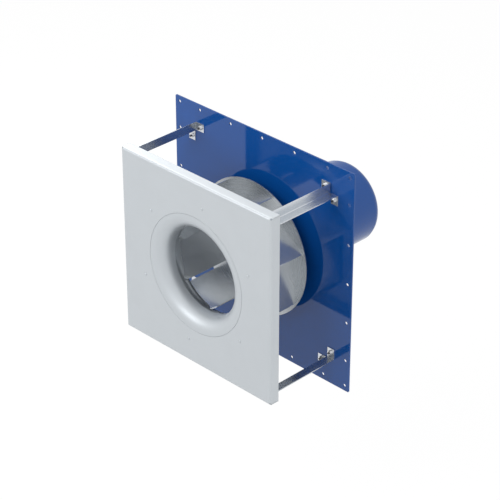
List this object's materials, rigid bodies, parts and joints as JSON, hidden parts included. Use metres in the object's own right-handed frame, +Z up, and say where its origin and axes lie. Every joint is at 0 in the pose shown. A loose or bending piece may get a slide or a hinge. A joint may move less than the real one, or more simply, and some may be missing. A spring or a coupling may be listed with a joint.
{
  "type": "centrifugal fan",
  "caption": "Plug-type centrifugal fan: square inlet plate with spun nozzle, strutted to a drilled wall plate, backward-curved impeller and a round motor hood behind.",
  "frame": {"origin": "centre of the wall plate's back face, on the shaft's axis", "axes": "+Y along the shaft from the inlet to the motor, +Z up, +X to the right seen from the inlet"},
  "size_m": [0.84, 0.7663, 0.84],
  "materials": {
    "wall_plate": "gloss blue paint",
    "inlet_plate": "satin grey paint",
    "inlet_nozzle": "satin grey paint",
    "nozzle_rivets": "rolled sheet",
    "strut_top_right": "galvanised steel",
    "strut_top_left": "galvanised steel",
    "strut_bottom_right": "galvanised steel",
    "strut_bottom_left": "galvanised steel",
    "strut_studs": "zinc-plated steel",
    "strut_washers": "zinc-plated steel",
    "strut_nuts": "zinc-plated steel",
    "bearing_outer_rings": "ground steel",
    "motor_drive_shield": "painted casting",
    "shaft_seal": "matt",
    "motor_flange_bolts": "zinc-plated steel",
    "motor_flange_washers": "zinc-plated steel",
    "motor_flange_nuts": "zinc-plated steel",
    "motor_housing": "die-cast",
    "stator_core": "laminated electrical steel",
    "stator_windings": "enamelled copper wire",
    "motor_rear_shield": "painted casting",
    "rear_shield_screws": "zinc-plated steel",
    "terminal_box": "die-cast",
    "terminal_box_lid": "die-cast",
    "lid_screws": "zinc-plated steel",
    "motor_fan_cowl": "gloss blue paint",
    "cowl_screws": "zinc-plated steel",
    "hood_base_ring": "gloss blue paint",
    "hood_studs": "zinc-plated steel",
    "hood_nuts": "zinc-plated steel",
    "hood_screws": "zinc-plated steel",
    "motor_hood": "gloss blue paint",
    "hood_end_cover": "gloss blue paint",
    "hood_lugs": "galvanised steel",
    "cover_screws": "zinc-plated steel",
    "cable_gland_body": "nickel-plated",
    "cable_gland_cap": "nickel-plated",
    "cable_gland_nut": "nickel-plated",
    "impeller_shroud": "rolled sheet",
    "impeller_blade_1": "rolled sheet",
    "impeller_blade_2": "rolled sheet",
    "impeller_blade_3": "rolled sheet",
    "impeller_blade_4": "rolled sheet",
    "impeller_blade_5": "rolled sheet",
    "impeller_blade_6": "rolled sheet",
    "impeller_blade_7": "rolled sheet",
    "impeller_back_disc": "rolled sheet",
    "impeller_hub": "painted casting",
    "hub_bolts": "zinc-plated steel",
    "hub_nuts": "zinc-plated steel",
    "shaft_key": "ground steel",
    "shaft_end_washer": "zinc-plated steel",
    "shaft_end_bolt": "zinc-plated steel",
    "motor_shaft": "ground steel",
    "rotor_core": "laminated electrical steel",
    "bearing_inner_rings": "ground steel",
    "motor_cooling_fan": "moulded"
  },
  "bodies": {
    "frame": {"wall_plate": "wall_plate", "inlet_plate": "inlet_plate", "inlet_nozzle": "inlet_nozzle", "nozzle_rivets": "nozzle_rivets", "strut_top_right": "strut_top_right", "strut_top_left": "strut_top_left", "strut_bottom_right": "strut_bottom_right", "strut_bottom_left": "strut_bottom_left", "strut_studs": "strut_studs", "strut_washers": "strut_washers", "strut_nuts": "strut_nuts", "bearing_outer_rings": "bearing_outer_rings", "motor_drive_shield": "motor_drive_shield", "shaft_seal": "shaft_seal", "motor_flange_bolts": "motor_flange_bolts", "motor_flange_washers": "motor_flange_washers", "motor_flange_nuts": "motor_flange_nuts", "motor_housing": "motor_housing", "stator_core": "stator_core", "stator_windings": "stator_windings", "motor_rear_shield": "motor_rear_shield", "rear_shield_screws": "rear_shield_screws", "terminal_box": "terminal_box", "terminal_box_lid": "terminal_box_lid", "lid_screws": "lid_screws", "motor_fan_cowl": "motor_fan_cowl", "cowl_screws": "cowl_screws", "hood_base_ring": "hood_base_ring", "hood_studs": "hood_studs", "hood_nuts": "hood_nuts", "hood_screws": "hood_screws", "motor_hood": "motor_hood", "hood_end_cover": "hood_end_cover", "hood_lugs": "hood_lugs", "cover_screws": "cover_screws", "cable_gland_body": "cable_gland_body", "cable_gland_cap": "cable_gland_cap", "cable_gland_nut": "cable_gland_nut"},
    "rotor": {"impeller_shroud": "impeller_shroud", "impeller_blade_1": "impeller_blade_1", "impeller_blade_2": "impeller_blade_2", "impeller_blade_3": "impeller_blade_3", "impeller_blade_4": "impeller_blade_4", "impeller_blade_5": "impeller_blade_5", "impeller_blade_6": "impeller_blade_6", "impeller_blade_7": "impeller_blade_7", "impeller_back_disc": "impeller_back_disc", "impeller_hub": "impeller_hub", "hub_bolts": "hub_bolts", "hub_nuts": "hub_nuts", "shaft_key": "shaft_key", "shaft_end_washer": "shaft_end_washer", "shaft_end_bolt": "shaft_end_bolt", "motor_shaft": "motor_shaft", "rotor_core": "rotor_core", "bearing_inner_rings": "bearing_inner_rings", "motor_cooling_fan": "motor_cooling_fan"}
  },
  "joints": [
    {"name": "impeller_spin", "type": "hinge", "parent": "frame", "child": "rotor", "pos_m": [0, -0.1, 0], "axis": [0, -1, 0], "continuous": true}
  ]
}
